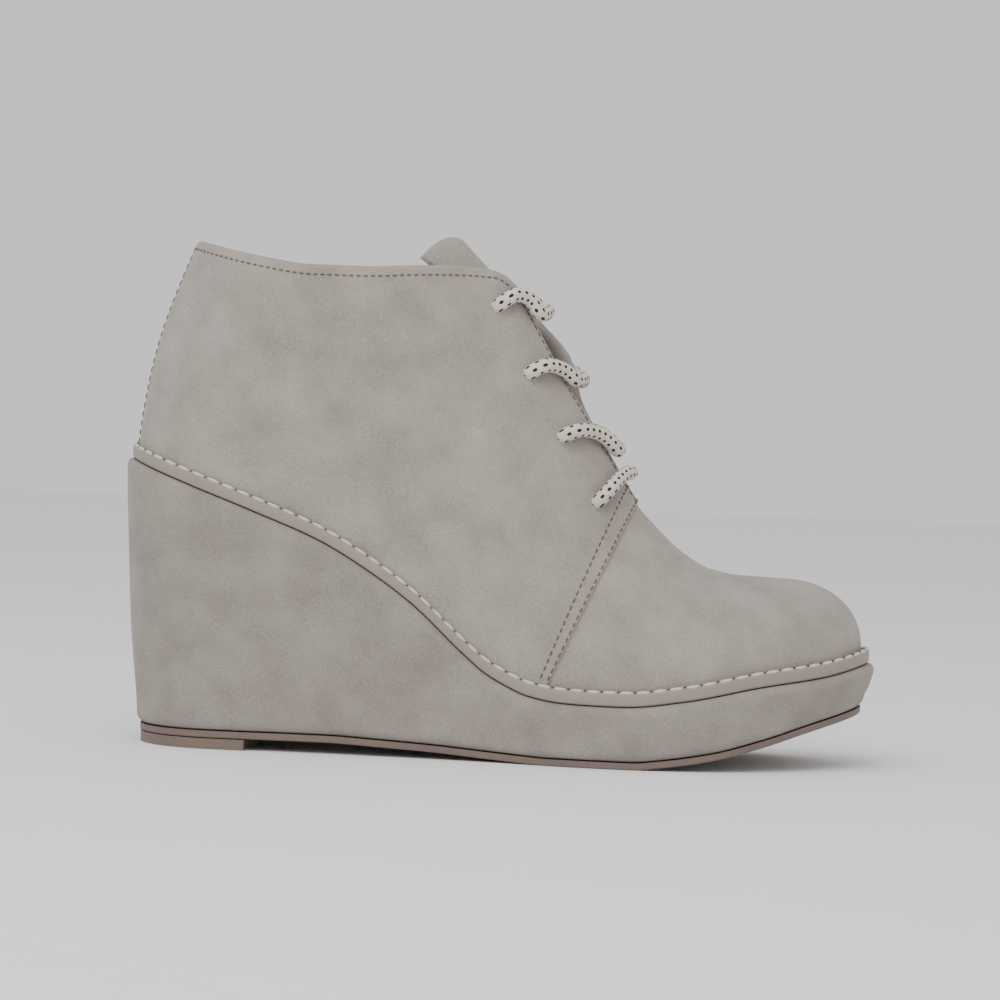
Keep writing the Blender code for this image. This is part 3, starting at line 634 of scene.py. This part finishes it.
def build_upper():
    numbers, skins = upper_skins()
    mesh = bmesh.new()
    verts = {}
    last = UPPER_ROWS - 1

    def vert(skin, side, at, row):
        if at in (0, len(numbers) - 1) or (row == last and numbers[at] > EDGE_RIB):
            side = 0
        key = (skin, side, at, row)
        if key not in verts:
            verts[key] = mesh.verts.new(skins[skin][side, at, row])
        return verts[key], key

    for side in (0, 1):
        for at in range(len(numbers) - 1):
            for row in range(last):
                square = [(side, at, row), (side, at + 1, row), (side, at + 1, row + 1), (side, at, row + 1)]
                outer = mesh.faces.new([vert(0, *corner)[0] for corner in square])
                inner = mesh.faces.new([vert(1, *corner)[0] for corner in square[::-1]])
                outer.material_index = 0
                inner.material_index = 1
    arcs = {}

    def rim_arc(key):
        """The folded edge's verts, from the outer skin's top over to the lining's."""
        if key in arcs:
            return arcs[key]
        _, side, at, row = key
        outer, inner = verts[key], verts[(1, *key[1:])]
        between = []
        if row == last:
            a, b = Vector(skins[0][side, at, row]), Vector(skins[1][side, at, row])
            if numbers[at] > EDGE_RIB:
                up = (a - Vector(skins[0][side, at + 1, row])).normalized()
            else:
                up = (a - Vector(skins[0][side, at, row - 1])).normalized()
            for i in range(1, RIM_ROWS + 1):
                angle = math.pi * i / (RIM_ROWS + 1)
                half = (a - b) / 2.0
                bulge = up * half.length * math.sin(angle)
                between.append(mesh.verts.new((a + b) / 2.0 + half * math.cos(angle) + bulge))
        arcs[key] = [outer, *between, inner]
        return arcs[key]

    keys = {v: key for key, v in verts.items() if key[0] == 0}
    rims = [edge for edge in mesh.edges if edge.is_boundary and edge.verts[0] in keys]
    for edge in rims:
        first, second = (rim_arc(keys[v]) for v in edge.verts)
        for i in range(min(len(first), len(second)) - 1):
            mesh.faces.new((first[i], second[i], second[i + 1], first[i + 1]))
    return mesh


# %% Lace holes through the wall
HOLE_SIDES = 24


def hole_places(side):
    levels = np.linspace(0.4, 1.0, 121)
    places = []
    for number, inset in zip(*LACE_HOLES.values()):
        points = rib_points(number, side, levels, False)
        steps = np.linalg.norm(np.diff(points, axis=0), axis=1)
        below = np.concatenate([[0.0], np.cumsum(steps[::-1])])[::-1]
        level = float(np.interp(-HOLE_INSET * inset, -below, levels))
        places.append((number, level, *wall_at(number, side, level)))
    return places


def punch_holes(piece):
    for side in (-1, 1):
        for _, _, place, normal in hole_places(side):
            bpy.ops.mesh.primitive_cylinder_add(
                vertices=HOLE_SIDES, radius=HOLE_WIDTH / 2.0, depth=4.0 * WALL)
            punch = bpy.context.active_object
            punch.rotation_mode = "QUATERNION"
            punch.rotation_quaternion = Vector(normal).to_track_quat("Z", "Y")
            punch.location = place - normal * WALL / 2.0
            cut = piece.modifiers.new("hole", "BOOLEAN")
            cut.operation = "DIFFERENCE"
            cut.solver = "EXACT"
            cut.object = punch
            graph = bpy.context.evaluated_depsgraph_get()
            holed = bpy.data.meshes.new_from_object(piece.evaluated_get(graph))
            piece.modifiers.clear()
            piece.data = holed
            bpy.data.objects.remove(punch, do_unlink=True)


def place_upper():
    mesh = build_upper()
    bmesh.ops.recalc_face_normals(mesh, faces=mesh.faces)
    data = bpy.data.meshes.new("suede_upper")
    mesh.to_mesh(data)
    mesh.free()
    data.materials.append(suede)
    data.materials.append(lining)
    piece = bpy.data.objects.new("suede_upper", data)
    bpy.context.scene.collection.objects.link(piece)
    punch_holes(piece)
    for polygon in piece.data.polygons:
        polygon.use_smooth = True
    piece.data.set_sharp_from_angle(angle=SHARP_ANGLE)
    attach(piece, "root")
    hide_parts("upper")
    print("suede_upper has", len(piece.data.polygons), "faces")


place_upper()

# %% [markdown]
# The tongue lies under the flaps, a hair inside their lining, and its tip stands above the collar.

# %% Tongue
TONGUE_FROM = 9.25
TONGUE_TO = 14.6
TONGUE_SIDE = 0.74
TONGUE_TIP_MIDDLE = (-0.066, 0.0, 0.262)
TONGUE_TIP_SIDE = (-0.110, 0.03, 0.31)
TONGUE_TIP_STEPS = 12
TONGUE_ROWS = 12
TONGUE_EDGE = 0.0008
TIP_STEP = 0.04
TIP_THIN = 0.4


def tongue_section(number):
    levels = np.linspace(TONGUE_SIDE, 1.0, TONGUE_ROWS)
    places = [wall_at(number, -1, level, False) for level in levels]
    places += [wall_at(number, 1, level, False) for level in levels[::-1]]
    lap = LAP if number < EDGE_RIB else 0.0
    points = np.array([place - normal * lap for place, normal in places])
    normals = np.array([normal for _, normal in places])
    return points - normals * (WALL + GAP), normals


def tongue_ring(points, normals, thick):
    low = points - normals * TONGUE
    middle_line = (points + low) / 2.0
    tops = middle_line + (points - middle_line) * thick
    lows = middle_line + (low - middle_line) * thick
    ends = []
    for end, neighbour in ((-1, -2), (0, 1)):
        out = middle_line[end] - middle_line[neighbour]
        ends.append(middle_line[end] + out / np.linalg.norm(out) * TONGUE_EDGE)
    return np.concatenate([tops, ends[:1], lows[::-1], ends[1:]])


def build_tongue():
    numbers = np.arange(TONGUE_TO, TONGUE_FROM - 0.01, -1.0 / RIBS_EACH)
    sections = [tongue_section(number) for number in numbers]
    points, normals = tongue_section(TONGUE_FROM)
    sides = np.abs(np.linspace(-1.0, 1.0, len(points)))
    sizes = np.array((LENGTH, BALL_WIDTH, COLLAR_HEIGHT))
    moves = np.outer(1.0 - sides, np.array(TONGUE_TIP_MIDDLE) * sizes)
    moves += np.outer(sides, np.array(TONGUE_TIP_SIDE) * sizes)
    moves[: len(points) // 2, 1] *= -1.0
    for i in range(1, TONGUE_TIP_STEPS + 1):
        sections.append((points + moves * i / TONGUE_TIP_STEPS, normals))
    tip_points, tip_normals = sections[-1]
    rings = [tongue_ring(*section, 1.0) for section in sections]
    rings.append(tongue_ring(tip_points + moves * TIP_STEP, tip_normals, TIP_THIN))
    mesh = bmesh.new()
    rows = [[mesh.verts.new(point) for point in points] for points in rings]
    for low, high in zip(rows, rows[1:]):
        for i in range(len(low)):
            j = (i + 1) % len(low)
            mesh.faces.new((low[i], low[j], high[j], high[i]))
    across = len(points)
    for row in (rows[0], rows[-1]):
        for i in range(across - 1):
            mesh.faces.new((row[i], row[i + 1], row[2 * across - 1 - i], row[2 * across - i]))
        mesh.faces.new((row[across - 1], row[across], row[across + 1]))
        mesh.faces.new((row[0], row[-1], row[-2]))
    return mesh


place_piece("suede_tongue", build_tongue(), suede, "tongue")

# %% [markdown]
# Each lace crossing comes up out of its hole, runs over the flap and its edge, and goes back into the hole
# on the other side. The ends stop inside the wall, where nothing of them shows.

# %% Lace crossings
CORNER_RIB = 9
LACES = {"shift": (1.75, 0.85, 1.0, 0.3), "dip": (0.45, 0.3, 0.1, 0.0)}
LACE_LIFT = 0.66
LACE_EDGE = 0.97
LACE_PARTS = (0.16, 0.4, 0.7, 1.0)
LACE_SUNK = 0.9
LACE_RISE = 0.2
CORD_SIDES = 16
CORD_STEPS = 9


def lace_route(at):
    shift = LACES["shift"][at]
    halves = []
    for side in (-1, 1):
        number, level, place, normal = hole_places(side)[at]
        route = [place - normal * WALL * LACE_SUNK, place + normal * LACE * LACE_RISE]
        for part in LACE_PARTS:
            there, out = wall_at(number + shift * part, side, level + (LACE_EDGE - level) * part)
            route.append(there + out * LACE * LACE_LIFT)
        halves.append(route)
    corner, vamp = (rib_points(number, -1, (1.0,), False)[0] for number in (CORNER_RIB, EDGE_RIB))
    along = vamp - corner
    along[1] = 0.0
    outward = np.cross(along / np.linalg.norm(along), (0.0, -1.0, 0.0))
    centre = (halves[0][-1] + halves[1][-1]) / 2.0 - outward * LACE * LACES["dip"][at]
    return [*halves[0], centre, *halves[1][::-1]]


def rounded_route(points):
    ends = [2.0 * points[0] - points[1], *points, 2.0 * points[-1] - points[-2]]
    line = []
    for a, b, c, d in zip(ends, ends[1:], ends[2:], ends[3:]):
        for t in np.arange(CORD_STEPS) / CORD_STEPS:
            line.append(0.5 * (2 * b + (c - a) * t + (2 * a - 5 * b + 4 * c - d) * t**2
                               + (3 * b - a - 3 * c + d) * t**3))
    return np.array([*line, points[-1]])


def build_cord(line):
    mesh = bmesh.new()
    uv = mesh.loops.layers.uv.new("cord")
    along = np.gradient(line, axis=0)
    along /= np.linalg.norm(along, axis=1, keepdims=True)
    length = np.concatenate([[0.0], np.cumsum(np.linalg.norm(np.diff(line, axis=0), axis=1))])
    across = np.cross(along[0], (0.0, 0.0, 1.0))
    rows = []
    for point, forward in zip(line, along):
        across = across - forward * (across @ forward)
        across /= np.linalg.norm(across)
        over = np.cross(forward, across)
        angles = np.arange(CORD_SIDES) * 2.0 * math.pi / CORD_SIDES
        circle = np.outer(np.cos(angles), across) + np.outer(np.sin(angles), over)
        rows.append([mesh.verts.new(place) for place in point + circle * LACE / 2.0])
    for i in range(len(rows) - 1):
        for k in range(CORD_SIDES):
            m = (k + 1) % CORD_SIDES
            face = mesh.faces.new((rows[i][k], rows[i][m], rows[i + 1][m], rows[i + 1][k]))
            corners = ((i, k), (i, k + 1), (i + 1, k + 1), (i + 1, k))
            for loop, (row, column) in zip(face.loops, corners):
                loop[uv].uv = (length[row], column / CORD_SIDES)
    mesh.faces.new(rows[0])
    mesh.faces.new(rows[-1])
    return mesh


for at in range(len(LACE_HOLES["rib"])):
    line = rounded_route(lace_route(at))
    place_piece(f"cord_{at + 1}", build_cord(line), cord_finish, f"lace_{at + 1}")

# %% [markdown]
# Stitches are short threads at an even pitch. One Geometry Nodes tree puts them along any row: it walks
# the row at the pitch, lays a small spindle along it at each point, and makes them one mesh.


# %% The stitch row's node tree
def make_stitch_tree():
    tree = bpy.data.node_groups.new("stitch_row", "GeometryNodeTree")
    tree.interface.new_socket("Row", in_out="INPUT", socket_type="NodeSocketGeometry")
    for name in ("Pitch", "Stitch length", "Stitch width"):
        tree.interface.new_socket(name, in_out="INPUT", socket_type="NodeSocketFloat")
    tree.interface.new_socket("Thread", in_out="INPUT", socket_type="NodeSocketMaterial")
    tree.interface.new_socket("Stitches", in_out="OUTPUT", socket_type="NodeSocketGeometry")
    given = tree.nodes.new("NodeGroupInput")
    result = tree.nodes.new("NodeGroupOutput")
    curve = tree.nodes.new("GeometryNodeMeshToCurve")
    walk = tree.nodes.new("GeometryNodeResampleCurve")
    walk.mode = "LENGTH"
    spindle = tree.nodes.new("GeometryNodeMeshUVSphere")
    spindle.inputs["Segments"].default_value = 6
    spindle.inputs["Rings"].default_value = 5
    spindle.inputs["Radius"].default_value = 0.5
    turned = tree.nodes.new("FunctionNodeAlignRotationToVector")
    turned.axis = "X"
    tangent = tree.nodes.new("GeometryNodeInputTangent")
    size = tree.nodes.new("ShaderNodeCombineXYZ")
    lay = tree.nodes.new("GeometryNodeInstanceOnPoints")
    real = tree.nodes.new("GeometryNodeRealizeInstances")
    look = tree.nodes.new("GeometryNodeSetMaterial")
    links = tree.links
    links.new(given.outputs["Row"], curve.inputs["Mesh"])
    links.new(curve.outputs["Curve"], walk.inputs["Curve"])
    links.new(given.outputs["Pitch"], walk.inputs["Length"])
    links.new(walk.outputs["Curve"], lay.inputs["Points"])
    links.new(spindle.outputs["Mesh"], lay.inputs["Instance"])
    links.new(tangent.outputs["Tangent"], turned.inputs["Vector"])
    links.new(turned.outputs["Rotation"], lay.inputs["Rotation"])
    links.new(given.outputs["Stitch length"], size.inputs["X"])
    links.new(given.outputs["Stitch width"], size.inputs["Y"])
    links.new(given.outputs["Stitch width"], size.inputs["Z"])
    links.new(size.outputs["Vector"], lay.inputs["Scale"])
    links.new(lay.outputs["Instances"], real.inputs["Geometry"])
    links.new(real.outputs["Geometry"], look.inputs["Geometry"])
    links.new(given.outputs["Thread"], look.inputs["Material"])
    links.new(look.outputs["Geometry"], result.inputs["Stitches"])
    return tree


STITCH_TREE = make_stitch_tree()


def sew(name, rows, pitch, long, wide, thread):
    """Lays stitches along open rows of points, and keeps them as one mesh."""
    points = np.concatenate(rows)
    starts = np.cumsum([0] + [len(row) for row in rows])
    edges = [(i, i + 1) for a, b in zip(starts, starts[1:]) for i in range(a, b - 1)]
    data = bpy.data.meshes.new(name)
    data.from_pydata([tuple(point) for point in points], edges, [])
    piece = bpy.data.objects.new(name, data)
    bpy.context.scene.collection.objects.link(piece)
    tool = piece.modifiers.new("stitches", "NODES")
    tool.node_group = STITCH_TREE
    values = {"Pitch": pitch, "Stitch length": long, "Stitch width": wide, "Thread": thread}
    for item in STITCH_TREE.interface.items_tree:
        if item.in_out == "INPUT" and item.name in values:
            tool[item.identifier] = values[item.name]
    graph = bpy.context.evaluated_depsgraph_get()
    sewn = bpy.data.meshes.new_from_object(piece.evaluated_get(graph))
    piece.modifiers.clear()
    piece.data = sewn
    for polygon in sewn.polygons:
        polygon.use_smooth = True
    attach(piece, "root")
    print(name, "has", len(sewn.polygons), "faces")


# %% Rows of stitches
THREAD_LIFT = 0.00012
THREAD_WIDTH = 0.0005
COLLAR_DROP = 0.0018
EDGE_BACK = 0.11
BOX_BACK = 0.95
BOX_LEAN = 0.1
BACK_RIB = 0.22
RIB_STEP = 0.1
WALL_LEVELS = 60
PITCH = {"collar": 0.0024, "edge": 0.0027, "back": 0.0030, "welt": 0.0055}
STITCH = {"collar": 0.0017, "edge": 0.0019, "back": 0.0021, "welt": 0.0054}
WELT_THREAD = {"width": 0.0013, "lift": 0.0002}


def level_below(number, side, drop):
    """The level up a rib that lies this far below its top, along the wall."""
    levels = np.linspace(0.5, 1.0, 80)
    points = rib_points(number, side, levels)
    steps = np.linalg.norm(np.diff(points, axis=0), axis=1)
    below = np.concatenate([[0.0], np.cumsum(steps[::-1])])[::-1]
    return float(np.interp(-drop, -below, levels))


def on_wall(number, side, level):
    place, normal = wall_at(number, side, level)
    return place + normal * THREAD_LIFT


def rows_by_edge(start, end):
    """A row a side, at one distance below the upper's free edge."""
    return [[on_wall(number, side, level_below(number, side, COLLAR_DROP))
             for number in np.arange(start, end, RIB_STEP)] for side in (-1, 1)]


def rows_up_wall(number, lean, top):
    """A row a side, from the welt up along one rib."""
    return [[on_wall(number + lean * level, side, level)
             for level in np.linspace(0.02, top, WALL_LEVELS)] for side in (-1, 1)]


collar_rows = rows_by_edge(0.3, CORNER_RIB + 0.01)
throat_rows = rows_by_edge(CORNER_RIB + 0.2, EDGE_RIB - EDGE_BACK)
quarter_rows = rows_up_wall(EDGE_RIB - EDGE_BACK, 0.0, 0.97)
quarter_rows += rows_up_wall(EDGE_RIB - BOX_BACK, BOX_LEAN, 0.95)
back_rows = rows_up_wall(BACK_RIB, 0.0, 0.97)
sew("stitches_collar", collar_rows, PITCH["collar"], STITCH["collar"], THREAD_WIDTH, dark_thread)
sew("stitches_throat", throat_rows, PITCH["edge"], STITCH["edge"], THREAD_WIDTH, dark_thread)
sew("stitches_quarter", quarter_rows, PITCH["edge"], STITCH["edge"], THREAD_WIDTH, dark_thread)
sew("stitches_back", back_rows, PITCH["back"], STITCH["back"], THREAD_WIDTH, dark_thread)
welt_line = raised(COVER_BULGE + WELT_ROUND, 0.0, lambda x: top_edge(x) + WELT_THREAD["lift"])
welt_row = np.concatenate([welt_line, welt_line[:1]])
sew("stitches_welt", [welt_row], PITCH["welt"], STITCH["welt"], WELT_THREAD["width"], pale_thread)

# %% [markdown]
# The boot stands on a pale floor in soft light from all round, with one large lamp above it. The camera has
# the photograph's low angle, from a little in front of the side, and its slight roll.

# %% Floor, light and camera
FLOOR_SIDE = 6.0
CAMERA_TARGET = Vector((0.10175, 0.0, 0.0863))
CAMERA_DISTANCE = 1.278
CAMERA_LENS = 135.0
CAMERA_TURN = math.radians(4.0)
CAMERA_RISE = math.radians(1.5)
CAMERA_ROLL = math.radians(1.94)
SENSOR = 36.0
SKY_STRENGTH = 0.85
KEY_SIDE = 1.2
KEY_POWER = 14.0
KEY_PLACE = Vector((-0.2, -0.9, 1.2))


def build_floor():
    bpy.ops.mesh.primitive_plane_add(size=FLOOR_SIDE)
    floor = bpy.context.active_object
    floor.name = "pale_floor"
    floor.data.materials.append(finish_of("floor_paint", (0.90, 0.90, 0.90), (0.93, 0.93, 0.93), bump=0.0))


def build_lights():
    world = bpy.data.worlds.new("studio")
    world.use_nodes = True
    world.node_tree.nodes["Background"].inputs["Color"].default_value = (1.0, 1.0, 1.0, 1.0)
    world.node_tree.nodes["Background"].inputs["Strength"].default_value = SKY_STRENGTH
    bpy.context.scene.world = world
    lamp = bpy.data.lights.new("key", "AREA")
    lamp.size = KEY_SIDE
    lamp.energy = KEY_POWER
    key = bpy.data.objects.new("key", lamp)
    key.location = KEY_PLACE
    key.rotation_mode = "QUATERNION"
    key.rotation_quaternion = (CAMERA_TARGET - KEY_PLACE).to_track_quat("-Z", "Y")
    bpy.context.scene.collection.objects.link(key)


def build_camera():
    data = bpy.data.cameras.new("camera")
    data.lens = CAMERA_LENS
    data.sensor_width = SENSOR
    camera = bpy.data.objects.new("camera", data)
    away = Vector((math.sin(CAMERA_TURN) * math.cos(CAMERA_RISE),
                   -math.cos(CAMERA_TURN) * math.cos(CAMERA_RISE), math.sin(CAMERA_RISE)))
    camera.location = CAMERA_TARGET + away * CAMERA_DISTANCE
    camera.rotation_mode = "QUATERNION"
    camera.rotation_quaternion = (-away).to_track_quat("-Z", "Y") @ Quaternion((0.0, 0.0, 1.0), CAMERA_ROLL)
    bpy.context.scene.collection.objects.link(camera)
    bpy.context.scene.camera = camera


build_floor()
build_lights()
build_camera()
